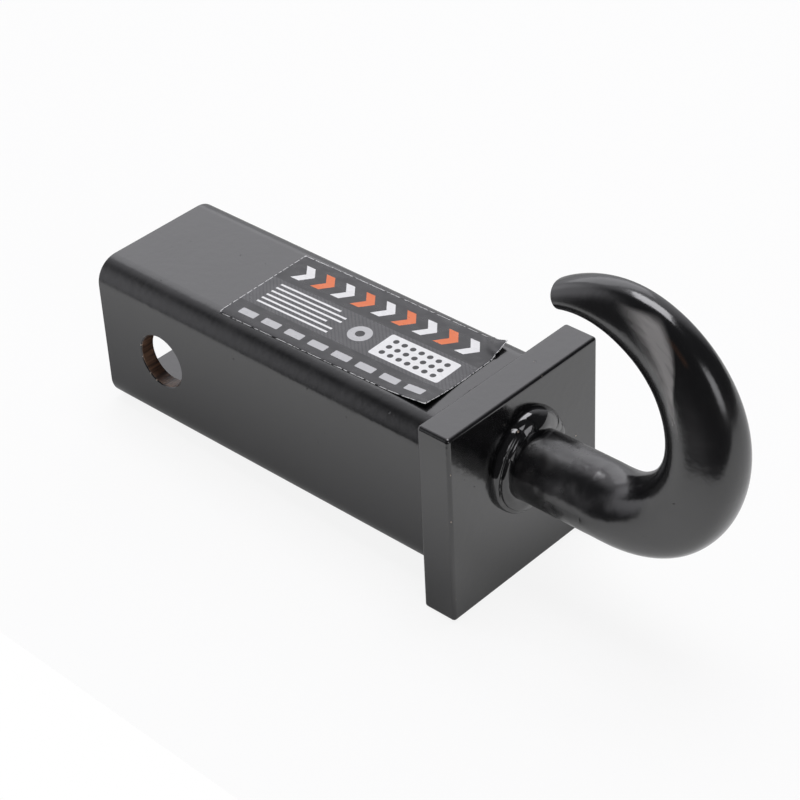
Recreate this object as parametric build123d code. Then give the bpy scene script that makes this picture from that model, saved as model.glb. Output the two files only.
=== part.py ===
from build123d import *
import math
import os

# Receiver tow hook: a square shank tube with a cross hole for a hitch pin, a square
# end plate welded over its front, and a forged hook welded to the plate.
# Millimetres. The origin is the middle of the pin hole on the tube's centreline,
# +X runs forward to the hook, +Y across the tube along the pin and +Z up.

# Shank tube
TUBE_SIZE = 50.8
TUBE_WALL = 4.76
TUBE_CORNER = 7.8
PIN_BORE = 17.5
PIN_RIM = 0.4
PIN_TO_OPEN_END = 26.0
PIN_TO_PLATE = 112.5
OPEN_END_EDGE = 0.5

# End plate
PLATE_SIZE = 64.0
PLATE_THICKNESS = 11.5
PLATE_EDGE = 1.1

# Hook: a round shank that bends up into an open bow
HOOK_SHANK_DIAMETER = 22.0
HOOK_AXIS_HEIGHT = 7.5
HOOK_STRAIGHT = 33.0
HOOK_LEAD_IN = 5.0
THROAT_RADIUS = 28.0
THROAT_TURN = 59.0
BOW_RADIUS = 33.7
BOW_TURN = 150.5
# Bow sections: share of the bow's length, depth in its plane, width across it
BOW_STATIONS = [
    (0.00, HOOK_SHANK_DIAMETER, HOOK_SHANK_DIAMETER),
    (0.15, 24.5, 19.5),
    (0.35, 24.0, 18.0),
    (0.55, 24.3, 14.5),
    (0.75, 20.2, 12.0),
    (0.90, 11.8, 12.0),
    (1.00, 7.0, 10.5),
]
BACK_TAPER = 0.26
# Fullness of a section's outline: how far it stands out at its sides, and how wide
# its shoulders are
ROUND_FULLNESS = (0.60, 0.55)
BACK_FULLNESS = (1.0, 1.04)
THROAT_FULLNESS = (0.66, 0.62)
TIP_FORM = 0.5
TIP_LENGTH = 5.5
TIP_FULLNESS = 1.15

# Welds
HOOK_WELD_THROAT = 3.8
HOOK_WELD_RIPPLES = 10
HOOK_WELD_UNEVENNESS = 0.06
TUBE_WELD_LEG = 4.5

# Label on the top of the tube
LABEL_LENGTH = 80.0
LABEL_WIDTH = 38.0
LABEL_THICKNESS = 0.2
LABEL_TO_PLATE = 10.0
LABEL_TURN = 1.6

HOOK_SECTIONS = 19

plate_back = PIN_TO_PLATE
plate_front = PIN_TO_PLATE + PLATE_THICKNESS
tube_top = TUBE_SIZE / 2
tube_length = PIN_TO_OPEN_END + PIN_TO_PLATE


def cross_plane(x):
    """The plane across the tube at x, with its own x along +Y and its own y up."""
    return Plane(origin=(x, 0, 0), x_dir=(0, 1, 0), z_dir=(1, 0, 0))


def square_bar(x, length, size, corner):
    """A square bar with rounded long edges, from x forwards."""
    return extrude(cross_plane(x) * RectangleRounded(size, size, corner), length)


def build_tube():
    """The square tube, open at the back, with the pin hole through both side walls."""
    inner = TUBE_SIZE - 2 * TUBE_WALL
    inner_corner = max(TUBE_CORNER - TUBE_WALL, 0.5)
    tube = square_bar(-PIN_TO_OPEN_END, tube_length, TUBE_SIZE, TUBE_CORNER)
    tube -= square_bar(-PIN_TO_OPEN_END, tube_length, inner, inner_corner)
    pin_hole = Plane.XZ * Cylinder(PIN_BORE / 2, 2 * TUBE_SIZE)
    tube -= pin_hole
    rims = [
        edge
        for edge in tube.edges().filter_by(GeomType.CIRCLE)
        if abs(edge.radius - PIN_BORE / 2) < 0.01 and abs(abs(edge.center().Y) - TUBE_SIZE / 2) < 0.01
    ]
    tube = chamfer(rims, PIN_RIM)
    open_end = tube.edges().group_by(Axis.X)[0]
    return chamfer(open_end, OPEN_END_EDGE)


def build_plate():
    """The square end plate, cut from bar, with its edges eased."""
    middle = (plate_back + plate_front) / 2
    plate = Pos(middle, 0, 0) * Box(PLATE_THICKNESS, PLATE_SIZE, PLATE_SIZE)
    return fillet(plate.edges(), PLATE_EDGE)


def bow_length():
    """Length of the bow's centreline, from the end of the straight to the tip."""
    throat = math.radians(THROAT_TURN) * THROAT_RADIUS
    return throat + math.radians(BOW_TURN) * BOW_RADIUS


def centreline(along):
    """Point and heading of the hook's centreline at a length from the plate's front."""
    straight = min(along, HOOK_STRAIGHT)
    throat = math.radians(THROAT_TURN) * THROAT_RADIUS
    turn = min(along - straight, throat) / THROAT_RADIUS
    x = plate_front + straight + THROAT_RADIUS * math.sin(turn)
    z = HOOK_AXIS_HEIGHT + THROAT_RADIUS * (1 - math.cos(turn))
    heading = turn
    if along - straight > throat:
        heading = turn + (along - straight - throat) / BOW_RADIUS
        x += BOW_RADIUS * (math.sin(heading) - math.sin(turn))
        z += BOW_RADIUS * (math.cos(turn) - math.cos(heading))
    return x, z, heading


def bow_size(share):
    """Half depth and half width of the section, read smoothly from the stations."""
    last = len(BOW_STATIONS) - 1
    i = max(k for k in range(last) if BOW_STATIONS[k][0] <= share)
    near = BOW_STATIONS[i]
    far = BOW_STATIONS[i + 1]
    before = BOW_STATIONS[max(i - 1, 0)]
    after = BOW_STATIONS[min(i + 2, last)]
    span = far[0] - near[0]
    t = (share - near[0]) / span
    sizes = []
    for k in (1, 2):
        slope_near = (far[k] - before[k]) / (far[0] - before[0]) * span
        slope_far = (after[k] - near[k]) / (after[0] - near[0]) * span
        value = near[k] * (1 + 2 * t) * (1 - t) ** 2 + far[k] * t * t * (3 - 2 * t)
        value += slope_near * t * (1 - t) ** 2 - slope_far * t * t * (1 - t)
        sizes.append(value / 2)
    return sizes


def ramp(share, start, end):
    """0 up to start, 1 from end, straight between."""
    return min(max((share - start) / (end - start), 0.0), 1.0)


def hook_section(along):
    """One closed section across the hook's centreline.

    form 0 is round. form 1 is the forged section: a round throat side, flat sides that
    close in towards the back of the bow, and square shoulders there. The back and the
    throat are one curve each, that meet smoothly at the sides. Half of its six control
    points are the side, the point that the curve leaves it for, and the shoulder, and
    the others mirror them. The shoulder's reach, 1.6 less half the second point's, puts
    the middle of the curve at the full half depth.
    """
    x, z, heading = centreline(along)
    share = max(along - HOOK_STRAIGHT, 0.0) / bow_length()
    half_depth, half_width = bow_size(min(share, 1.0))
    form = ramp(share, 0.0, 0.2) * (1 - (1 - TIP_FORM) * ramp(share, 0.8, 1.0))
    plane = Plane(
        origin=(x, 0, z),
        x_dir=(math.sin(heading), 0, -math.cos(heading)),
        z_dir=(math.cos(heading), 0, math.sin(heading)),
    )
    taper = form * BACK_TAPER
    side_width = half_width * (1 - taper / 4)
    lean = taper * half_width / 2
    outline = []
    for way, fullness, narrowing in ((1, BACK_FULLNESS, 0.75), (-1, THROAT_FULLNESS, -0.25)):
        rise, spread = (r + form * (f - r) for r, f in zip(ROUND_FULLNESS, fullness))
        half = [
            (0, way * side_width),
            (way * half_depth * rise, way * side_width - lean * rise),
            (way * half_depth * (1.6 - rise / 2), way * side_width * spread * (1 - taper * narrowing)),
        ]
        outline.append(Edge.make_bezier(*half, *((out, -across) for out, across in reversed(half))))
    return plane, outline


def build_hook():
    """The forging: round shank, bow that deepens in the throat and a blunt tip."""
    bow_start = HOOK_STRAIGHT - HOOK_LEAD_IN
    length = HOOK_LEAD_IN + bow_length()
    sections = []
    for k in range(HOOK_SECTIONS):
        plane, outline = hook_section(bow_start + length * k / (HOOK_SECTIONS - 1))
        sections.append(plane * make_face(outline))
    forging = extrude(sections[0], -bow_start) + loft(sections)
    nose_start = bow_length() - 1.1 * TIP_LENGTH
    plane, outline = hook_section(HOOK_STRAIGHT + nose_start)
    depth, width = (TIP_FULLNESS * size for size in bow_size(nose_start / bow_length()))
    nose = scale(Sphere(1), by=(depth, width, TIP_LENGTH))
    end = Pos(0, 0, 2 * TIP_LENGTH) * Box(4 * depth, 4 * width, 4 * TIP_LENGTH)
    return forging - plane * (end - nose)


def build_hook_weld(hook):
    """The bead round the hook's foot: slanted ripples, a little uneven in size."""
    foot = HOOK_SHANK_DIAMETER / 2
    pitch = 2 * math.pi * (foot + HOOK_WELD_THROAT / 2) / HOOK_WELD_RIPPLES
    shank = Plane(origin=(plate_front, 0, HOOK_AXIS_HEIGHT), z_dir=(1, 0, 0))
    bead = shank * Cylinder(foot, HOOK_WELD_THROAT / 2)
    for i in range(HOOK_WELD_RIPPLES):
        turn = 360 * i / HOOK_WELD_RIPPLES
        throat = HOOK_WELD_THROAT * (1 + HOOK_WELD_UNEVENNESS * math.sin(math.radians(3 * turn) + 1))
        ripple = Pos(throat - 0.6 * pitch, 0, 0) * Cylinder(0.6 * pitch, 4 * HOOK_WELD_THROAT)
        bead += shank * Rot(0, 0, turn) * Pos(foot, 0, 0) * Rot(0, -45, 0) * ripple
    reach = foot + 4 * HOOK_WELD_THROAT
    in_front = shank * Pos(0, 0, reach / 2) * Box(2 * reach, 2 * reach, reach)
    return (bead & in_front) - hook


def build_tube_weld():
    """The fillet weld that runs round the tube where it meets the plate's back."""
    wide = TUBE_SIZE + 2 * TUBE_WELD_LEG
    toe = cross_plane(plate_back) * RectangleRounded(wide, wide, TUBE_CORNER + TUBE_WELD_LEG)
    crest = cross_plane(plate_back - TUBE_WELD_LEG) * RectangleRounded(
        TUBE_SIZE, TUBE_SIZE, TUBE_CORNER
    )
    bead = loft([crest, toe])
    return bead - square_bar(plate_back - 2 * TUBE_WELD_LEG, 4 * TUBE_WELD_LEG, TUBE_SIZE, TUBE_CORNER)


def build_label():
    """The label: a thin skin on the tube's top that turns a little over its bends."""
    start = plate_back - LABEL_TO_PLATE - LABEL_LENGTH
    over = TUBE_SIZE + 2 * LABEL_THICKNESS
    skin = square_bar(start - 5, LABEL_LENGTH + 10, over, TUBE_CORNER + LABEL_THICKNESS)
    skin -= square_bar(start - 10, LABEL_LENGTH + 20, TUBE_SIZE, TUBE_CORNER)
    cutter = extrude(RectangleRounded(LABEL_LENGTH, LABEL_WIDTH, 0.8), TUBE_SIZE)
    return skin & (Pos(start + LABEL_LENGTH / 2, 0, 0) * Rot(0, 0, LABEL_TURN) * cutter)


hook = build_hook()
pieces = {
    "shank_tube": build_tube(),
    "end_plate": build_plate(),
    "hook": hook,
    "hook_weld": build_hook_weld(hook),
    "tube_weld": build_tube_weld(),
    "label": build_label(),
}

os.makedirs("parts", exist_ok=True)
for name, piece in pieces.items():
    export_step(piece, f"parts/{name}.step")
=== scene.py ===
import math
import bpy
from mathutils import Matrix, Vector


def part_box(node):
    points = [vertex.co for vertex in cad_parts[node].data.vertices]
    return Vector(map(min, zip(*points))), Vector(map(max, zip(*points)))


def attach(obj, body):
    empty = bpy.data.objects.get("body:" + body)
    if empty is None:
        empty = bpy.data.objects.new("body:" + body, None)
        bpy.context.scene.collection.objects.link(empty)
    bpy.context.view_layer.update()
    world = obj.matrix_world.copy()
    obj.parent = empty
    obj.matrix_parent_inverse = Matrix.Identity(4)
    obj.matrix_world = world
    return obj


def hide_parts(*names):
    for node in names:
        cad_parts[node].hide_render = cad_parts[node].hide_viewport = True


bl_info = {
    "name": "Receiver tow hook",
    "version": (1, 0, 0),
    "blender": (4, 5, 0),
    "location": "3D View > Sidebar > Tow hook",
    "description": "Dresses the shank tube, plate, forged hook, weld beads and label of a tow hook",
    "category": "Object",
}

import bpy
import numpy as np
from bpy.props import FloatProperty, FloatVectorProperty, IntProperty, PointerProperty

# All lengths are metres. The origin is the middle of the pin hole, +X runs forward to
# the hook, +Y across the tube and +Z up.
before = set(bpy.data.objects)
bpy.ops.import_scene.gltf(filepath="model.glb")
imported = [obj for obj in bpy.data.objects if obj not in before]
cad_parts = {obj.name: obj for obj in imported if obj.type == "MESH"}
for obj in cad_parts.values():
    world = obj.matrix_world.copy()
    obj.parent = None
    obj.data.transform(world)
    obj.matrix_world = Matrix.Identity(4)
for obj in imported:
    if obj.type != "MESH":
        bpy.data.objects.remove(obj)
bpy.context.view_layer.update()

tube_low, tube_high = (np.array(corner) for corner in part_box("shank_tube"))
plate_low, plate_high = (np.array(corner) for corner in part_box("end_plate"))
label_low, label_high = (np.array(corner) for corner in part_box("label"))

# Sizes of the solids that their boxes don't give; BOW_MIDDLE is an x and a z
TUBE_CORNER = 0.0078
PIN_RADIUS = 0.00875
HOOK_FOOT_RADIUS = 0.011
HOOK_FOOT_HEIGHT = 0.0075
BOW_MIDDLE = (0.1521, 0.0384)

# How far a bead's hidden faces reach into the steel
SUNK = 0.0001
# How far the label stands off the tube, and its thickness
LABEL_STAND = 0.00006
LABEL_THICKNESS = 0.00012
LABEL_CREASE_HEIGHT = 0.0004
TUBE_RIPPLE_HEIGHT = 0.00028
# How far the floor lies under the edges that the part rests on
FLOOR_GAP = 0.00005

# Looks that the panel doesn't set
PAINT_IOR = 1.78
# Light grey of the painted highlight on the bow's flank and of the dust by the foot
DUST_AND_SHEEN_COLOUR = (0.5, 0.485, 0.47)
RUST_COLOUR = (0.10, 0.045, 0.022)
LAMP_COLOUR = (0.97, 0.965, 1.0)
ROOM_COLOUR = (0.96, 0.955, 1, 1)


# Settings that a user would change


class PaintSettings(bpy.types.PropertyGroup):
    colour: FloatVectorProperty(
        name="Colour",
        description="Colour of the black powder coat",
        subtype="COLOR",
        size=3,
        default=(0.0060, 0.0060, 0.0066),
    )
    roughness: FloatProperty(
        name="Roughness", description="How dull the coat is", default=0.2, min=0.02, max=1
    )
    peel_size: FloatProperty(
        name="Peel size",
        description="Width of one dimple of the orange peel",
        unit="LENGTH",
        default=0.0022,
    )
    peel_depth: FloatProperty(
        name="Peel depth", description="Depth of the orange peel", unit="LENGTH", default=0.000035
    )
    chip_colour: FloatVectorProperty(
        name="Chip colour",
        description="Colour of the filler that shows in small chips",
        subtype="COLOR",
        size=3,
        default=(0.42, 0.34, 0.27),
    )


class BeadSettings(bpy.types.PropertyGroup):
    hook_leg: FloatProperty(
        name="Hook bead leg",
        description="Width of the bead round the hook's foot",
        unit="LENGTH",
        default=0.0047,
    )
    ripple_height: FloatProperty(
        name="Hook bead ripple height",
        description="How far the ripples of the hook's bead stand out",
        unit="LENGTH",
        default=0.0004,
    )
    tube_leg: FloatProperty(
        name="Tube bead leg",
        description="Width of the bead round the tube",
        unit="LENGTH",
        default=0.0042,
    )
    tube_ripples: IntProperty(
        name="Tube bead ripples", description="Ripples round the tube", default=96, min=8
    )


class LabelSettings(bpy.types.PropertyGroup):
    length: FloatProperty(
        name="Length", description="Length of the label", unit="LENGTH", default=0.080
    )
    width: FloatProperty(
        name="Width", description="Width of the label", unit="LENGTH", default=0.038
    )
    turn: FloatProperty(
        name="Turn",
        description="How far the label was stuck on askew",
        unit="ROTATION",
        default=math.radians(1.6),
    )
    lift: FloatProperty(
        name="Corner lift",
        description="How far its corners by the plate stand off the tube",
        unit="LENGTH",
        default=0.0015,
    )
    dark_ink: FloatVectorProperty(
        name="Dark ink", subtype="COLOR", size=3, default=(0.018, 0.018, 0.020),
        description="Ground of the label",
    )
    grey_ink: FloatVectorProperty(
        name="Grey ink", subtype="COLOR", size=3, default=(0.10, 0.10, 0.105),
        description="Striped ground of the label's middle",
    )
    silver_ink: FloatVectorProperty(
        name="Silver ink", subtype="COLOR", size=3, default=(0.50, 0.50, 0.51),
        description="Dashes and ring of the label",
    )
    orange_ink: FloatVectorProperty(
        name="Orange ink", subtype="COLOR", size=3, default=(0.78, 0.16, 0.03),
        description="Every other arrow of the label",
    )
    paper: FloatVectorProperty(
        name="Paper", subtype="COLOR", size=3, default=(0.80, 0.80, 0.80),
        description="White of the label and its cut edge",
    )


class StageSettings(bpy.types.PropertyGroup):
    floor_size: FloatProperty(
        name="Floor size", description="Width of the floor", unit="LENGTH", default=6.0
    )
    floor_front: FloatProperty(
        name="Floor front",
        description="How far the white floor reaches in front of the part's left side",
        unit="LENGTH",
        default=0.12,
    )
    back_light: FloatProperty(
        name="Back light", description="Brightness of the softbox behind", default=0.88
    )
    top_light: FloatProperty(
        name="Top light", description="Brightness of the softbox above", default=5.4
    )
    right_light: FloatProperty(
        name="Right light", description="Brightness of the softbox on the right", default=2.2
    )
    fill_light: FloatProperty(
        name="Fill light", description="Brightness of the room", default=0.64
    )
    camera_place: FloatVectorProperty(
        name="Camera place", subtype="XYZ", unit="LENGTH", size=3,
        description="Where the camera stands", default=(0.47236, -0.40960, 0.41809),
    )
    camera_turn: FloatVectorProperty(
        name="Camera turn", subtype="EULER", size=3, description="How the camera is turned",
        default=(math.radians(54.092), math.radians(2.399), math.radians(42.318)),
    )
    camera_lens: FloatProperty(
        name="Lens", description="Focal length in millimetres on a 36 mm sensor", default=108.13
    )


class TowHookSettings(bpy.types.PropertyGroup):
    paint: PointerProperty(type=PaintSettings)
    bead: PointerProperty(type=BeadSettings)
    label: PointerProperty(type=LabelSettings)
    stage: PointerProperty(type=StageSettings)


# Meshes


def grid_object(name, points, closed_rows=False, closed_columns=False):
    """An object from a grid of points, rows by columns by 3, in quads.

    A closed direction joins its last line of points to its first. Edges that turn by
    more than 60 degrees stay sharp.
    """
    rows, columns = points.shape[:2]
    row = np.arange(rows if closed_rows else rows - 1)
    column = np.arange(columns if closed_columns else columns - 1)
    i, j = np.meshgrid(row, column, indexing="ij")
    i_next = (i + 1) % rows
    j_next = (j + 1) % columns
    quads = np.stack(
        [i * columns + j, i_next * columns + j, i_next * columns + j_next, i * columns + j_next],
        axis=-1,
    ).reshape(-1, 4)
    mesh = bpy.data.meshes.new(name)
    mesh.from_pydata(points.reshape(-1, 3), [], quads)
    mesh.shade_smooth()
    mesh.set_sharp_from_angle(angle=math.radians(60))
    thing = bpy.data.objects.new(name, mesh)
    bpy.context.collection.objects.link(thing)
    return thing


def ripple_arches(phase):
    """Overlapping arches with sharp valleys: the root of 4 t (1 - t), t being the phase's share."""
    share = phase % 1.0
    return np.sqrt(np.clip(4 * share * (1 - share), 0, 1))


def hump(angle, middle, width):
    """1 where angle is middle, falling off as a bell of the given width; all in degrees."""
    away = (angle - middle + 180) % 360 - 180
    return np.exp(-((away / width) ** 2))


# Node building


def node(tree, kind, inputs=(), **fields):
    """Add a node, set its fields, and fill inputs: a socket is linked, a value is set."""
    made = tree.nodes.new(kind)
    for field, value in fields.items():
        setattr(made, field, value)
    pairs = inputs.items() if isinstance(inputs, dict) else enumerate(inputs)
    for key, value in pairs:
        if isinstance(value, bpy.types.NodeSocket):
            tree.links.new(value, made.inputs[key])
        else:
            made.inputs[key].default_value = value
    return made


def maths(tree, operation, *values):
    """The result of one Math node."""
    return node(tree, "ShaderNodeMath", values, operation=operation).outputs[0]


def blend(tree, share, below, above):
    """Colour that goes from below to above as share goes from 0 to 1."""
    ends = [
        end if isinstance(end, bpy.types.NodeSocket) else (*end, 1.0) for end in (below, above)
    ]
    inputs = {0: share, 6: ends[0], 7: ends[1]}
    return node(tree, "ShaderNodeMix", inputs, data_type="RGBA").outputs[2]


def between(tree, value, low, high, to_low=0.0, to_high=1.0):
    """A value carried smoothly from one range to another."""
    return node(
        tree,
        "ShaderNodeMapRange",
        {"Value": value, 1: low, 2: high, 3: to_low, 4: to_high},
        interpolation_type="SMOOTHSTEP",
    ).outputs[0]


def window(tree, value, start, full, ending, gone):
    """1 between full and ending, 0 up to start and from gone."""
    rise = between(tree, value, start, full)
    return maths(tree, "MULTIPLY", rise, between(tree, value, ending, gone, 1.0, 0.0))


def length_of(tree, a, b):
    """The root of a squared plus b squared."""
    squares = maths(tree, "MULTIPLY_ADD", a, a, maths(tree, "MULTIPLY", b, b))
    return maths(tree, "SQRT", squares)


def noise(tree, place, scale, detail):
    """Noise from 0 to 1."""
    values = {"Vector": place, "Scale": scale, "Detail": detail}
    return node(tree, "ShaderNodeTexNoise", values).outputs[0]


def joined(tree, masks):
    """One mask of several."""
    whole = masks[0]
    for mask in masks[1:]:
        whole = maths(tree, "MAXIMUM", whole, mask)
    return whole


def facing(tree, way, toward):
    """How far a direction points the given way, from -1 to 1."""
    made = node(tree, "ShaderNodeVectorMath", (way, toward), operation="DOT_PRODUCT")
    return made.outputs["Value"]


def new_group(name, inputs, outputs):
    """An empty shader node group with named sockets, and its two ends."""
    tree = bpy.data.node_groups.new(name, "ShaderNodeTree")
    for socket, kind, value in inputs:
        made = tree.interface.new_socket(socket, in_out="INPUT", socket_type=kind)
        made.default_value = value
    for socket, kind in outputs:
        tree.interface.new_socket(socket, in_out="OUTPUT", socket_type=kind)
    start = tree.nodes.new("NodeGroupInput")
    end = tree.nodes.new("NodeGroupOutput")
    return tree, start, end


def new_material(name):
    """A material with only its output, and its tree."""
    material = bpy.data.materials.new(name)
    material.use_nodes = True
    tree = material.node_tree
    tree.nodes.clear()
    return material, tree


def object_place(tree):
    """Object coordinates, split into x, y and z."""
    place = node(tree, "ShaderNodeTexCoord").outputs["Object"]
    split = node(tree, "ShaderNodeSeparateXYZ", (place,)).outputs
    return place, split["X"], split["Y"], split["Z"]


def finish_material(tree, colour, roughness, normal, ior=1.5):
    """Principled BSDF and output for worked-out colour, roughness and normal."""
    inputs = {"Base Color": colour, "Roughness": roughness, "Normal": normal, "IOR": ior}
    shader = node(tree, "ShaderNodeBsdfPrincipled", inputs)
    node(tree, "ShaderNodeOutputMaterial", (shader.outputs[0],))


def powder_coat_group():
    """Powder coat: orange peel, slow waves, pinholes and nibs, and a little dust.

    Height is in metres. Dots are cells of a Voronoi pattern whose own random value is
    low, shown as small discs round the cell's point.
    """
    if "Powder coat" in bpy.data.node_groups:
        return bpy.data.node_groups["Powder coat"]
    tree, start, end = new_group(
        "Powder coat",
        [
            ("Colour", "NodeSocketColor", (0.01, 0.01, 0.01, 1)),
            ("Roughness", "NodeSocketFloat", 0.2),
            ("Peel size", "NodeSocketFloat", 0.002),
            ("Peel depth", "NodeSocketFloat", 0.00003),
            ("Wave depth", "NodeSocketFloat", 0.00006),
            ("Nibs", "NodeSocketFloat", 0.03),
        ],
        [
            ("Colour", "NodeSocketColor"),
            ("Roughness", "NodeSocketFloat"),
            ("Height", "NodeSocketFloat"),
        ],
    )
    given = start.outputs
    place = node(tree, "ShaderNodeTexCoord").outputs["Object"]
    fine = maths(tree, "DIVIDE", 1.0, given["Peel size"])
    peel = noise(tree, place, fine, 2.0)
    waves = noise(tree, place, 95.0, 1.0)
    cells = node(
        tree, "ShaderNodeTexVoronoi", {"Vector": place, "Scale": 330.0, "Randomness": 1.0}
    ).outputs
    chance = node(tree, "ShaderNodeSeparateColor", (cells["Color"],)).outputs
    chosen = maths(tree, "LESS_THAN", chance[0], given["Nibs"])
    disc = between(tree, cells["Distance"], 0.05, 0.14, 1.0, 0.0)
    nib = maths(tree, "MULTIPLY", chosen, disc)
    side = maths(tree, "SUBTRACT", maths(tree, "GREATER_THAN", chance[1], 0.5), 0.5)
    height = maths(tree, "MULTIPLY", peel, given["Peel depth"])
    height = maths(tree, "MULTIPLY_ADD", waves, given["Wave depth"], height)
    nib_height = maths(tree, "MULTIPLY", maths(tree, "MULTIPLY", nib, side), 0.00022)
    tree.links.new(maths(tree, "ADD", height, nib_height), end.inputs["Height"])
    patches = noise(tree, place, 60.0, 5.0)
    dull = between(tree, patches, 0.35, 0.75, 0.85, 1.25)
    tree.links.new(maths(tree, "MULTIPLY", dull, given["Roughness"]), end.inputs["Roughness"])
    dusty = maths(tree, "MULTIPLY", between(tree, patches, 0.5, 0.8), 0.03)
    colour = blend(tree, dusty, given["Colour"], (0.2, 0.19, 0.18))
    tree.links.new(colour, end.inputs["Colour"])
    return tree


def chip_group():
    """Small chips in the paint: few and round on the faces, more of them along edges."""
    if "Paint chips" in bpy.data.node_groups:
        return bpy.data.node_groups["Paint chips"]
    tree, start, end = new_group(
        "Paint chips",
        [
            ("Scale", "NodeSocketFloat", 240.0),
            ("Chance", "NodeSocketFloat", 0.01),
            ("Size", "NodeSocketFloat", 0.08),
        ],
        [("Chip", "NodeSocketFloat")],
    )
    place = node(tree, "ShaderNodeTexCoord").outputs["Object"]
    warp = node(tree, "ShaderNodeTexNoise", {"Vector": place, "Scale": 900.0}).outputs["Color"]
    bent = node(
        tree, "ShaderNodeVectorMath", {0: warp, 1: (0.0007, 0.0007, 0.0007), 2: place},
        operation="MULTIPLY_ADD",
    ).outputs[0]
    cells = node(
        tree, "ShaderNodeTexVoronoi", {"Vector": bent, "Scale": start.outputs["Scale"]}
    ).outputs
    chance = node(tree, "ShaderNodeSeparateColor", (cells["Color"],)).outputs
    chosen = maths(tree, "LESS_THAN", chance[0], start.outputs["Chance"])
    size = maths(tree, "MULTIPLY", start.outputs["Size"], maths(tree, "ADD", chance[1], 0.5))
    inside = maths(tree, "LESS_THAN", cells["Distance"], size)
    tree.links.new(maths(tree, "MULTIPLY", chosen, inside), end.inputs["Chip"])
    return tree


def patch_group():
    """A slanted block with round corners on the label, as a mask.

    With q the distance from the centre less the half size plus the corner, on each axis,
    the mask is 1 where the length of q's positive part less the corner is below zero.
    """
    if "Label block" in bpy.data.node_groups:
        return bpy.data.node_groups["Label block"]
    tree, start, end = new_group(
        "Label block",
        [
            ("Along", "NodeSocketFloat", 0.0),
            ("Across", "NodeSocketFloat", 0.0),
            ("Centre along", "NodeSocketFloat", 0.0),
            ("Centre across", "NodeSocketFloat", 0.0),
            ("Half length", "NodeSocketFloat", 5.0),
            ("Half width", "NodeSocketFloat", 2.0),
            ("Corner", "NodeSocketFloat", 0.3),
            ("Slant", "NodeSocketFloat", 0.0),
        ],
        [("Mask", "NodeSocketFloat")],
    )
    given = start.outputs
    away = maths(tree, "SUBTRACT", given["Across"], given["Centre across"])
    leaning = maths(tree, "MULTIPLY", away, given["Slant"])
    along = maths(tree, "SUBTRACT", given["Along"], given["Centre along"])
    along = maths(tree, "ABSOLUTE", maths(tree, "SUBTRACT", along, leaning))
    across = maths(tree, "ABSOLUTE", away)
    inner_length = maths(tree, "SUBTRACT", given["Half length"], given["Corner"])
    inner_width = maths(tree, "SUBTRACT", given["Half width"], given["Corner"])
    over = maths(tree, "MAXIMUM", maths(tree, "SUBTRACT", along, inner_length), 0.0)
    beside = maths(tree, "MAXIMUM", maths(tree, "SUBTRACT", across, inner_width), 0.0)
    distance = maths(tree, "SUBTRACT", length_of(tree, over, beside), given["Corner"])
    tree.links.new(between(tree, distance, -0.06, 0.06, 1.0, 0.0), end.inputs["Mask"])
    return tree


def placed_group(tree, group, values):
    """A node group placed in a material, with its inputs filled, and its outputs."""
    return node(tree, "ShaderNodeGroup", values, node_tree=group).outputs


def coat(tree, paint, roughness, wave_depth=0.00006, nibs=0.03, peel=1.0):
    """A powder coat group placed in a material with the paint's own values."""
    values = {
        "Colour": (*paint.colour, 1),
        "Roughness": roughness,
        "Peel size": paint.peel_size,
        "Peel depth": paint.peel_depth * peel,
        "Wave depth": wave_depth,
        "Nibs": nibs,
    }
    return placed_group(tree, powder_coat_group(), values)


def chips(tree, scale, chance, size):
    """Chips placed in a material; chance may be a socket."""
    values = {"Scale": scale, "Chance": chance, "Size": size}
    return placed_group(tree, chip_group(), values)["Chip"]


def bumped(tree, height):
    """Normal from a height in metres."""
    return node(
        tree, "ShaderNodeBump", {"Strength": 1.0, "Distance": 1.0, "Height": height}
    ).outputs[0]


def tube_material(paint):
    """Powder coat outside and in, and a bare brown cut wall in the pin hole."""
    material, tree = new_material("shank paint")
    place, x, _, z = object_place(tree)
    painted = coat(tree, paint, paint.roughness, 0.00003, nibs=0.09, peel=1.3)
    radius = length_of(tree, x, z)
    cut = maths(tree, "LESS_THAN", radius, PIN_RADIUS + 0.00012)
    streaks = node(
        tree, "ShaderNodeMapping", {"Vector": place, "Scale": (900.0, 60.0, 900.0)}
    ).outputs[0]
    grain = noise(tree, streaks, 1.0, 4.0)
    rust = blend(tree, between(tree, grain, 0.35, 0.65), (0.05, 0.022, 0.012), (0.22, 0.12, 0.07))
    rim = maths(tree, "LESS_THAN", radius, PIN_RADIUS + 0.0006)
    rim_chip = maths(tree, "MULTIPLY", rim, chips(tree, 900.0, 0.3, 0.3))
    chip = maths(tree, "MAXIMUM", rim_chip, chips(tree, 210.0, 0.016, 0.07))
    colour = blend(tree, chip, painted["Colour"], paint.chip_colour[:])
    colour = blend(tree, cut, colour, rust)
    roughness = maths(tree, "MAXIMUM", painted["Roughness"], maths(tree, "MULTIPLY", cut, 0.5))
    grain_depth = maths(tree, "MULTIPLY", cut, 0.00012)
    height = maths(tree, "MULTIPLY_ADD", grain, grain_depth, painted["Height"])
    finish_material(tree, colour, roughness, bumped(tree, height), PAINT_IOR)
    return material


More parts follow.
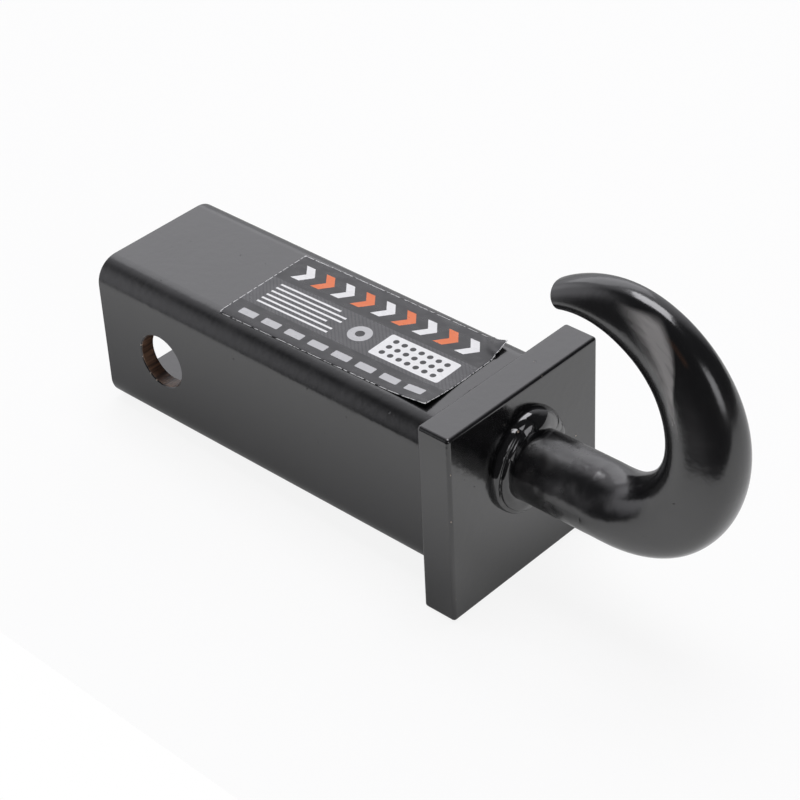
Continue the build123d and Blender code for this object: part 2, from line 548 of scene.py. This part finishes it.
def plate_material(paint):
    """Powder coat, thin at the plate's edges, where small chips show the filler.

    The distance to the nearest edge is the second smallest of the distances to the
    plate's three pairs of faces.
    """
    material, tree = new_material("plate paint")
    _, x, y, z = object_place(tree)
    painted = coat(tree, paint, paint.roughness * 0.9, 0.00006, nibs=0.06, peel=1.4)
    half = (plate_high - plate_low) / 2
    middle = (plate_high + plate_low) / 2
    gaps = []
    for axis, value in enumerate((x, y, z)):
        off = maths(tree, "ABSOLUTE", maths(tree, "SUBTRACT", value, float(middle[axis])))
        gaps.append(maths(tree, "SUBTRACT", float(half[axis]), off))
    low = maths(tree, "MINIMUM", gaps[0], gaps[1])
    high = maths(tree, "MAXIMUM", gaps[0], gaps[1])
    edge = maths(tree, "MAXIMUM", low, maths(tree, "MINIMUM", high, gaps[2]))
    near_edge = between(tree, edge, 0.0002, 0.0012, 1.0, 0.0)
    chance = maths(tree, "MULTIPLY_ADD", near_edge, 0.11, 0.009)
    chip = chips(tree, 330.0, chance, 0.11)
    colour = blend(tree, chip, painted["Colour"], paint.chip_colour[:])
    height = maths(tree, "MULTIPLY_ADD", chip, -0.00008, painted["Height"])
    finish_material(tree, colour, painted["Roughness"], bumped(tree, height), PAINT_IOR)
    return material


def sheen_and_rust_group():
    """A painted highlight on the bow's flank, drawn as light paint, and a brown rust streak beside
    it, as two masks.

    Both are drawn in polar coordinates round the bow's middle. The painted highlight band winds
    outwards from a radius of 29.5 to 38.5 mm and is widest at 57 degrees.
    """
    if "Bow sheen and rust" in bpy.data.node_groups:
        return bpy.data.node_groups["Bow sheen and rust"]
    masks = [("Painted sheen", "NodeSocketFloat"), ("Rust", "NodeSocketFloat")]
    tree, _, end = new_group("Bow sheen and rust", [], masks)
    _, x, y, z = object_place(tree)
    ahead = maths(tree, "SUBTRACT", x, BOW_MIDDLE[0])
    up = maths(tree, "SUBTRACT", z, BOW_MIDDLE[1])
    radius = maths(tree, "MULTIPLY", length_of(tree, ahead, up), 1000.0)
    angle = maths(tree, "DEGREES", maths(tree, "ARCTAN2", up, ahead))
    near_side = maths(tree, "LESS_THAN", y, 0.0)
    turned = (radius, maths(tree, "MULTIPLY", angle, 0.12))
    grain = noise(tree, node(tree, "ShaderNodeCombineXYZ", turned).outputs[0], 0.5, 2.0)
    streaks = between(tree, grain, 0.3, 0.65, 0.6, 1.0)
    middle = between(tree, angle, 22.0, 68.0, 29.5, 38.5)
    width = maths(tree, "MULTIPLY_ADD", window(tree, angle, 33.0, 54.0, 60.0, 78.0), 2.6, 1.5)
    off = maths(tree, "DIVIDE", maths(tree, "SUBTRACT", radius, middle), width)
    band = window(tree, off, -1.8, 0.5, 0.6, 1.4)
    length = window(tree, angle, 8.0, 46.0, 60.0, 82.0)
    # Mask of the painted highlight on the bow's flank
    painted_sheen = maths(tree, "MULTIPLY", maths(tree, "MULTIPLY", band, length), streaks)
    tree.links.new(maths(tree, "MULTIPLY", painted_sheen, near_side), end.inputs["Painted sheen"])
    across = window(tree, radius, 40.8, 41.6, 41.8, 42.6)
    streak = maths(tree, "MULTIPLY", across, window(tree, angle, 43.0, 46.0, 53.0, 58.0))
    tree.links.new(maths(tree, "MULTIPLY", streak, near_side), end.inputs["Rust"])
    return tree


def hook_material(paint):
    """Powder coat over a forged skin: lumpy by the foot, smooth on the bow, with a painted
    highlight drawn as light paint on the bow's flank.
    """
    material, tree = new_material("hook paint")
    place, x, _, z = object_place(tree)
    painted = coat(tree, paint, paint.roughness * 0.95, 0.0001)
    behind_bow = between(tree, x, 0.145, 0.172, 1.0, 0.0)
    foot = maths(tree, "MULTIPLY", behind_bow, between(tree, z, 0.018, 0.032, 1.0, 0.0))
    lumps = noise(tree, place, 170.0, 1.0)
    lump_height = maths(tree, "MULTIPLY", foot, 0.00035)
    height = maths(tree, "MULTIPLY_ADD", lumps, lump_height, painted["Height"])
    # Masks of the painted highlight on the bow's flank and of the rust streak beside it
    worn = placed_group(tree, sheen_and_rust_group(), {})
    patchy = between(tree, lumps, 0.45, 0.7)
    dust = maths(tree, "MULTIPLY", patchy, maths(tree, "MULTIPLY", foot, 0.05))
    # Lighter where the highlight is painted on the bow's flank, and where dust lies by the foot
    dull = maths(tree, "MULTIPLY_ADD", worn["Painted sheen"], 1.3, dust)
    colour = blend(tree, dull, painted["Colour"], DUST_AND_SHEEN_COLOUR)
    colour = blend(tree, maths(tree, "MULTIPLY", worn["Rust"], 0.35), colour, RUST_COLOUR)
    colour = blend(tree, chips(tree, 190.0, 0.012, 0.05), colour, paint.chip_colour[:])
    rougher = maths(tree, "MULTIPLY_ADD", foot, 0.25, 1.0)
    roughness = maths(tree, "MULTIPLY", painted["Roughness"], rougher)
    roughness = maths(tree, "MULTIPLY_ADD", worn["Painted sheen"], 0.25, roughness)
    finish_material(tree, colour, roughness, bumped(tree, height), PAINT_IOR)
    return material


def bead_material(paint):
    """Thick wet paint over weld beads, with spatter."""
    material, tree = new_material("weld paint")
    painted = coat(tree, paint, paint.roughness * 0.5, 0.0002, nibs=0.06)
    colour = blend(tree, chips(tree, 300.0, 0.03, 0.1), painted["Colour"], paint.chip_colour[:])
    finish_material(tree, colour, painted["Roughness"], bumped(tree, painted["Height"]), PAINT_IOR)
    return material


def shared_bead_material(paint):
    """The one material of both beads."""
    return bpy.data.materials.get("weld paint") or bead_material(paint)


def label_block(tree, place, middle, size, corner, slant=0.0):
    """Mask of one block of print, in millimetres along and across."""
    values = {
        "Along": place[0], "Across": place[1],
        "Centre along": middle[0], "Centre across": middle[1],
        "Half length": size[0] / 2, "Half width": size[1] / 2,
        "Corner": corner, "Slant": slant,
    }
    return placed_group(tree, patch_group(), values)["Mask"]


def label_masks(tree, place):
    """Masks of the label's generic print, each with its ink, in the order of printing."""

    def blocks(*shapes):
        return joined(tree, [label_block(tree, place, *shape) for shape in shapes])

    def arrows(first):
        """Every second arrow; the two blocks of an arrow lean together."""
        halves = ((13.2, -0.8), (9.4, 0.8))
        return [
            ((-32.5 + 8 * k, across), (3.4, 3.84), 0.05, slant)
            for k in range(first, 9, 2)
            for across, slant in halves
        ]

    band = ((0, -2.6), (90, 14.6), 0.01)
    dashes = [((-32.2 + 9.2 * k, -14.4), (6.4, 2.8), 0.4) for k in range(8)]
    panel = ((22.0, -2.6), (26.0, 11.4), 0.8)
    dots = [
        ((12.4 + 3.2 * i, -5.8 + 3.2 * j), (1.9, 1.9), 0.95) for i in range(7) for j in range(3)
    ]
    line_start = -35.0
    lines = []
    for k in range(6):
        length = 24.08 if k % 3 == 2 else 28.0
        lines.append(((line_start + length / 2, -7.8 + 2.1 * k), (length, 0.8), 0.1))
    ring = ((1.2, -2.6), (7.6, 7.6), 3.8)
    hollow = ((1.2, -2.6), (3.0, 3.0), 1.5)
    return (
        ("grey", blocks(band)),
        ("silver", blocks(*dashes)),
        ("white", blocks(*arrows(0))),
        ("orange", blocks(*arrows(1))),
        ("white", blocks(panel)),
        ("dark", blocks(*dots)),
        ("white", blocks(*lines)),
        ("silver", blocks(ring)),
        ("dark", blocks(hollow)),
    )


def label_material(settings):
    """Printed label, a plain design of arrows, dashes, dots, lines and a ring.

    The label's own map gives millimetres from its middle: along, towards the plate, and
    across, towards the far side. Paper shows at its edge where the print is rubbed.
    """
    material, tree = new_material("label print")
    place = node(tree, "ShaderNodeUVMap", uv_map="Label").outputs[0]
    split = node(tree, "ShaderNodeSeparateXYZ", (place,)).outputs
    length, width = settings.length * 1000, settings.width * 1000
    along = maths(tree, "MULTIPLY", maths(tree, "SUBTRACT", split["X"], 0.5), length)
    across = maths(tree, "MULTIPLY", maths(tree, "SUBTRACT", split["Y"], 0.5), width)
    dark = settings.dark_ink[:]
    stripes = maths(tree, "SINE", maths(tree, "MULTIPLY", maths(tree, "ADD", along, across), 4.2))
    striped = maths(tree, "MULTIPLY", between(tree, stripes, 0.2, 0.6), 0.5)
    inks = {
        "dark": dark,
        "grey": blend(tree, striped, settings.grey_ink[:], dark),
        "silver": settings.silver_ink[:],
        "orange": settings.orange_ink[:],
        "white": settings.paper[:],
    }
    colour = dark
    for ink, mask in label_masks(tree, (along, across)):
        colour = blend(tree, mask, colour, inks[ink])
    inside = label_block(tree, (along, across), (0, 0), (length - 0.5, width - 0.5), 0.8)
    outside = maths(tree, "SUBTRACT", 1.0, inside)
    worn = between(tree, noise(tree, place, 38.0, 4.0), 0.42, 0.5)
    colour = blend(tree, maths(tree, "MULTIPLY", outside, worn), colour, inks["white"])
    roughness = between(tree, noise(tree, place, 14.0, 5.0), 0.3, 0.7, 0.24, 0.42)
    bubbles = noise(tree, node(tree, "ShaderNodeTexCoord").outputs["Object"], 260.0, 2.0)
    height = maths(tree, "MULTIPLY", bubbles, 0.00012)
    finish_material(tree, colour, roughness, bumped(tree, height))
    return material


# Operators


class TOWHOOK_OT_paint(bpy.types.Operator):
    """Paint the shank tube, the end plate and the forged hook"""

    bl_idname = "towhook.paint"
    bl_label = "Paint tube, plate and hook"

    def execute(self, context):
        paint = context.scene.tow_hook.paint
        finishes = {
            "shank_tube": tube_material(paint),
            "end_plate": plate_material(paint),
            "hook": hook_material(paint),
        }
        for name, material in finishes.items():
            thing = bpy.data.objects[name]
            if not thing.material_slots:
                thing.data.materials.append(material)
            for slot in thing.material_slots:
                slot.material = material
        return {"FINISHED"}


class TOWHOOK_OT_hook_bead(bpy.types.Operator):
    """Lay the rippled weld bead round the hook's foot"""

    bl_idname = "towhook.hook_bead"
    bl_label = "Hook weld bead"

    def execute(self, context):
        """Rows go round the foot, columns from the toe on the plate to the shank.

        The profile is part of an ellipse, closed by a point inside the corner. A big lobe
        sits on top, two small ones beside it. On the camera's side two passes lie
        beside each other with a groove between them. Elsewhere the ripples are arches
        between valleys at uneven angles.
        """
        bead = context.scene.tow_hook.bead
        front = float(plate_high[0])
        angle = np.linspace(0, 360, 400, endpoint=False)[:, None]
        share = np.linspace(0, 1, 36)[None, :]
        leg = bead.hook_leg * (1 + 0.3 * hump(angle, 82, 30) + 0.18 * hump(angle, 250, 34))
        leg = leg * (1 - 0.07 * hump(angle, 195, 30) + 0.02 * np.sin(np.radians(9 * angle)))
        valleys = [20, 35, 51, 118, 152, 187, 221, 256, 288, 322, 380]
        shifted = (angle - 20 + 9 * np.sin(np.pi * share)) % 360 + 20
        phase = np.interp(shifted, valleys, np.arange(len(valleys)))
        bow = np.sin(np.pi * share)
        two_pass = hump(angle, 192, 62)
        height = bead.ripple_height * (1 + 2.2 * hump(angle, 84, 26) - 0.75 * two_pass)
        swell = height * (ripple_arches(phase) - 0.5) * bow
        groove = np.exp(-(((share - 0.46 - 0.05 * np.sin(np.radians(3 * angle))) / 0.06) ** 2))
        swell = swell + bead.ripple_height * two_pass * (0.9 * bow - 1.9 * groove)
        out = leg * np.cos(np.pi / 2 * share) ** 1.1 + swell * np.cos(np.pi / 2 * share)
        ahead = 0.95 * leg * np.sin(np.pi / 2 * share) ** 1.1 + swell * np.sin(np.pi / 2 * share)
        out = np.append(np.maximum(out, 0), 0 * angle, axis=1)
        ahead = np.append(np.maximum(ahead, 0), 0 * angle, axis=1)
        radius = HOOK_FOOT_RADIUS - SUNK + out
        turn = np.radians(angle)
        x = front - SUNK + ahead
        y = radius * np.cos(turn)
        z = HOOK_FOOT_HEIGHT + radius * np.sin(turn)
        points = np.stack([x, y, z], axis=-1)
        piece = grid_object("hook_bead", points, closed_rows=True, closed_columns=True)
        piece.data.materials.append(shared_bead_material(context.scene.tow_hook.paint))
        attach(piece, "root")
        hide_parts("hook_weld")
        return {"FINISHED"}


class TOWHOOK_OT_tube_bead(bpy.types.Operator):
    """Lay the rippled weld bead round the tube at the plate's back"""

    bl_idname = "towhook.tube_bead"
    bl_label = "Tube weld bead"

    def execute(self, context):
        """Rows go round the tube's rounded square, columns across the bead.

        Columns run from the tube to the plate and back by the corner between them. A
        point of the rounded square is one of the inner square, moved out along the
        direction that faces there.
        """
        bead = context.scene.tow_hook.bead
        back = float(plate_low[0])
        half = float(tube_high[1])
        flat = 2 * (half - TUBE_CORNER)
        arc = np.pi / 2 * TUBE_CORNER
        side = flat + arc
        run = np.linspace(0, 4 * side, 640, endpoint=False)
        number = np.floor(run / side)
        rest = run - number * side
        angle = number * np.pi / 2 + np.clip((rest - flat) / TUBE_CORNER, 0, np.pi / 2)
        slide = np.clip(rest, 0, flat) - flat / 2
        out_y = np.cos(angle)[:, None]
        out_z = np.sin(angle)[:, None]
        base = number * np.pi / 2
        inner = half - TUBE_CORNER
        core_y = (inner * np.cos(base) - slide * np.sin(base))[:, None]
        core_z = (inner * np.sin(base) + slide * np.cos(base))[:, None]
        share = np.linspace(0, 1, 14)[None, :]
        phase = (bead.tube_ripples * run / (4 * side))[:, None]
        bow = np.sin(np.pi * share)
        turn = (2 * np.pi * run / (4 * side))[:, None]
        leg = bead.tube_leg * (1 + 0.05 * np.sin(3 * turn) + 0.04 * np.sin(11 * turn + 1))
        ripple = TUBE_RIPPLE_HEIGHT * (ripple_arches(phase + 0.5 * bow) - 0.6) * bow
        ahead = leg * np.cos(np.pi / 2 * share) ** 1.2 + ripple
        out = leg * np.sin(np.pi / 2 * share) ** 1.2 + ripple
        radius = TUBE_CORNER - SUNK + out
        corner = np.zeros((len(run), 1))
        along = np.hstack([back + SUNK - np.maximum(ahead, 0), corner + back + SUNK])
        radius = np.hstack([radius, corner + TUBE_CORNER - SUNK])
        points = np.stack([along, core_y + radius * out_y, core_z + radius * out_z], axis=-1)
        piece = grid_object("tube_bead", points, closed_rows=True, closed_columns=True)
        piece.data.materials.append(shared_bead_material(context.scene.tow_hook.paint))
        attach(piece, "root")
        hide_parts("tube_weld")
        return {"FINISHED"}


class TOWHOOK_OT_label(bpy.types.Operator):
    """Stick the printed label on the tube's top"""

    bl_idname = "towhook.label"
    bl_label = "Label"

    def execute(self, context):
        """Rows run along the label, columns across it.

        The sheet lies on the tube: flat on its top, and on the arc of its bends beyond
        that. Near its corners by the plate it stands off by a smooth hump.
        """
        settings = context.scene.tow_hook.label
        half_length = settings.length / 2
        half_width = settings.width / 2
        along = np.linspace(-half_length, half_length, 141)[:, None]
        across = np.linspace(-half_width, half_width, 71)[None, :]
        middle = (label_low + label_high) / 2
        x = middle[0] + along * math.cos(settings.turn) - across * math.sin(settings.turn)
        y = middle[1] + along * math.sin(settings.turn) + across * math.cos(settings.turn)
        top = float(tube_high[2])
        flat = float(tube_high[1]) - TUBE_CORNER
        beyond = np.maximum(np.abs(y) - flat, 0)
        bend = beyond / TUBE_CORNER
        radius = TUBE_CORNER + LABEL_STAND
        y_on = np.where(beyond > 0, np.sign(y) * (flat + radius * np.sin(bend)), y)
        z_on = top + LABEL_STAND - radius * (1 - np.cos(bend))
        near = np.hypot(along - half_length, across + half_width)
        far = np.hypot(along - half_length, across - half_width)
        lift = settings.lift * np.clip(1 - near / 0.017, 0, 1) ** 1.6
        curl = 1.3 * settings.lift * np.clip(1 - far / 0.009, 0, 1) ** 1.4
        crease = np.exp(-((far - 0.006) / 0.0011) ** 2) * (half_length - along < 0.009)
        z_on = z_on + lift + curl + LABEL_CREASE_HEIGHT * crease
        x = x - 0.6 * curl
        points = np.stack([x, y_on, z_on], axis=-1)
        piece = grid_object("label_sheet", points)
        rows, columns = points.shape[:2]
        u = np.repeat(np.linspace(0, 1, rows), columns)
        v = np.tile(np.linspace(0, 1, columns), rows)
        corners = np.empty(len(piece.data.loops), dtype=np.int32)
        piece.data.loops.foreach_get("vertex_index", corners)
        layer = piece.data.uv_layers.new(name="Label")
        layer.data.foreach_set("uv", np.stack([u[corners], v[corners]], axis=-1).ravel())
        thickness = piece.modifiers.new("Thickness", "SOLIDIFY")
        thickness.thickness = LABEL_THICKNESS
        thickness.offset = -1 if piece.data.polygons[0].normal.z < 0 else 1
        piece.data.materials.append(label_material(settings))
        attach(piece, "root")
        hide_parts("label")
        return {"FINISHED"}


class TOWHOOK_OT_stage(bpy.types.Operator):
    """Set the floor, the soft lights and the camera"""

    bl_idname = "towhook.stage"
    bl_label = "Stage"

    def execute(self, context):
        """The floor touches the two edges that the part rests on.

        They are the plate's lower back edge and the tube's lower edge at its open end.
        """
        stage = context.scene.tow_hook.stage
        scene = context.scene
        rest = np.array([[plate_low[0], plate_low[2]], [tube_low[0], tube_low[2]]])
        slope = float((rest[0, 1] - rest[1, 1]) / (rest[0, 0] - rest[1, 0]))
        x, y = np.meshgrid(
            np.array([-stage.floor_size / 2, stage.floor_size / 2]),
            np.array([-stage.floor_front, stage.floor_size / 2]),
            indexing="ij",
        )
        z = rest[0, 1] + slope * (x - rest[0, 0]) - FLOOR_GAP
        floor = grid_object("floor", np.stack([x, y, z], axis=-1))
        floor.data.materials.append(floor_material())
        scene.world = studio_world(stage.fill_light)
        lamps = (
            ("back_softbox", (-0.75, 0.80, 0.80), (1.3, 0.9), stage.back_light),
            ("top_softbox", (0.05, 0.12, 1.25), (0.8, 0.7), stage.top_light),
            ("right_softbox", (1.05, -0.42, 0.42), (0.5, 0.5), stage.right_light),
        )
        for name, place, size, brightness in lamps:
            soft_light(name, place, size, brightness)
        camera = bpy.data.cameras.new("camera")
        camera.lens = stage.camera_lens
        camera.sensor_width = 36.0
        camera.clip_start = 0.01
        camera.clip_end = 20.0
        holder = bpy.data.objects.new("camera", camera)
        holder.location = stage.camera_place
        holder.rotation_euler = stage.camera_turn
        scene.collection.objects.link(holder)
        scene.camera = holder
        scene.view_settings.view_transform = "Standard"
        return {"FINISHED"}


def soft_light(name, place, size, brightness):
    """A rectangular area light that looks at the part.

    Its power is pi times its area times its brightness.
    """
    light = bpy.data.lights.new(name, "AREA")
    light.shape = "RECTANGLE"
    light.size, light.size_y = size
    light.energy = math.pi * size[0] * size[1] * brightness
    light.color = LAMP_COLOUR
    holder = bpy.data.objects.new(name, light)
    holder.location = place
    aim = np.array([0.08, 0.0, 0.0]) - np.array(place)
    flat = math.hypot(aim[0], aim[1])
    tilt = math.atan2(flat, -aim[2])
    turn = math.atan2(aim[1], aim[0]) - math.pi / 2
    holder.rotation_euler = (tilt, 0.0, turn)
    bpy.context.scene.collection.objects.link(holder)


def floor_material():
    """White paper floor that takes the part's soft shadow.

    Glossy paint sees it whiter, and darker in the band along the tube's near side, a painted shadow
    of the tube that shows only in reflections.
    """
    material, tree = new_material("studio floor")
    paper = node(tree, "ShaderNodeBsdfDiffuse", {"Color": (0.9, 0.9, 0.9, 1)}).outputs[0]
    path = node(tree, "ShaderNodeLightPath").outputs
    _, x, y, _ = object_place(tree)
    # Painted shadow of the tube on the floor, for glossy rays only
    near_side = between(tree, y, -0.085, -0.03, 0.0, 0.62)
    band = maths(tree, "MULTIPLY", near_side, between(tree, x, 0.11, 0.15, 1.0, 0.0))
    shade = maths(tree, "MULTIPLY", band, path["Is Glossy Ray"])
    level = maths(tree, "SUBTRACT", 1.0, shade)
    glow = node(tree, "ShaderNodeEmission", {"Color": (1, 1, 1, 1), "Strength": level}).outputs[0]
    seen = maths(tree, "MULTIPLY", path["Is Camera Ray"], 0.88)
    mirrored = maths(tree, "MULTIPLY", path["Is Glossy Ray"], 0.7)
    share = maths(tree, "ADD", seen, mirrored)
    mixed = node(tree, "ShaderNodeMixShader", (share, paper, glow)).outputs[0]
    node(tree, "ShaderNodeOutputMaterial", (mixed,))
    return material


def studio_world(brightness):
    """White room, darker on the camera's side, with a pale card on the left."""
    world = bpy.data.worlds.new("studio")
    world.use_nodes = True
    tree = world.node_tree
    tree.nodes.clear()
    way = node(tree, "ShaderNodeTexCoord").outputs["Generated"]
    behind = between(tree, facing(tree, way, (-0.62, 0.62, 0.48)), 0.42, 0.86, 0.10, 1.2)
    card = between(tree, facing(tree, way, (-0.9, -0.42, 0.1)), 0.76, 0.97, 0.0, 1.3)
    level = maths(tree, "MULTIPLY", maths(tree, "ADD", behind, card), brightness)
    room = node(
        tree, "ShaderNodeBackground", {"Color": ROOM_COLOUR, "Strength": level}
    ).outputs[0]
    white = node(
        tree, "ShaderNodeBackground", {"Color": (1, 1, 1, 1), "Strength": 1.0}
    ).outputs[0]
    path = node(tree, "ShaderNodeLightPath").outputs
    mixed = node(tree, "ShaderNodeMixShader", (path["Is Camera Ray"], room, white)).outputs[0]
    node(tree, "ShaderNodeOutputWorld", (mixed,))
    return world


class TOWHOOK_PT_panel(bpy.types.Panel):
    """Lists the steps and their settings"""

    bl_label = "Tow hook"
    bl_idname = "TOWHOOK_PT_panel"
    bl_space_type = "VIEW_3D"
    bl_region_type = "UI"
    bl_category = "Tow hook"

    def draw(self, context):
        settings = context.scene.tow_hook
        for title, group, steps in (
            ("Paint", settings.paint, ("towhook.paint",)),
            ("Beads", settings.bead, ("towhook.hook_bead", "towhook.tube_bead")),
            ("Label", settings.label, ("towhook.label",)),
            ("Stage", settings.stage, ("towhook.stage",)),
        ):
            area = self.layout.box()
            area.label(text=title)
            for field in group.bl_rna.properties:
                if field.identifier not in {"rna_type", "name"}:
                    area.prop(group, field.identifier)
            for step in steps:
                area.operator(step)


CLASSES = (
    PaintSettings,
    BeadSettings,
    LabelSettings,
    StageSettings,
    TowHookSettings,
    TOWHOOK_OT_paint,
    TOWHOOK_OT_hook_bead,
    TOWHOOK_OT_tube_bead,
    TOWHOOK_OT_label,
    TOWHOOK_OT_stage,
    TOWHOOK_PT_panel,
)


def register():
    for each in CLASSES:
        bpy.utils.register_class(each)
    bpy.types.Scene.tow_hook = PointerProperty(type=TowHookSettings)


def unregister():
    del bpy.types.Scene.tow_hook
    for each in reversed(CLASSES):
        bpy.utils.unregister_class(each)


def main():
    """Register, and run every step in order."""
    register()
    bpy.ops.towhook.stage()
    bpy.ops.towhook.paint()
    bpy.ops.towhook.hook_bead()
    bpy.ops.towhook.tube_bead()
    bpy.ops.towhook.label()


if __name__ == "__main__":
    main()
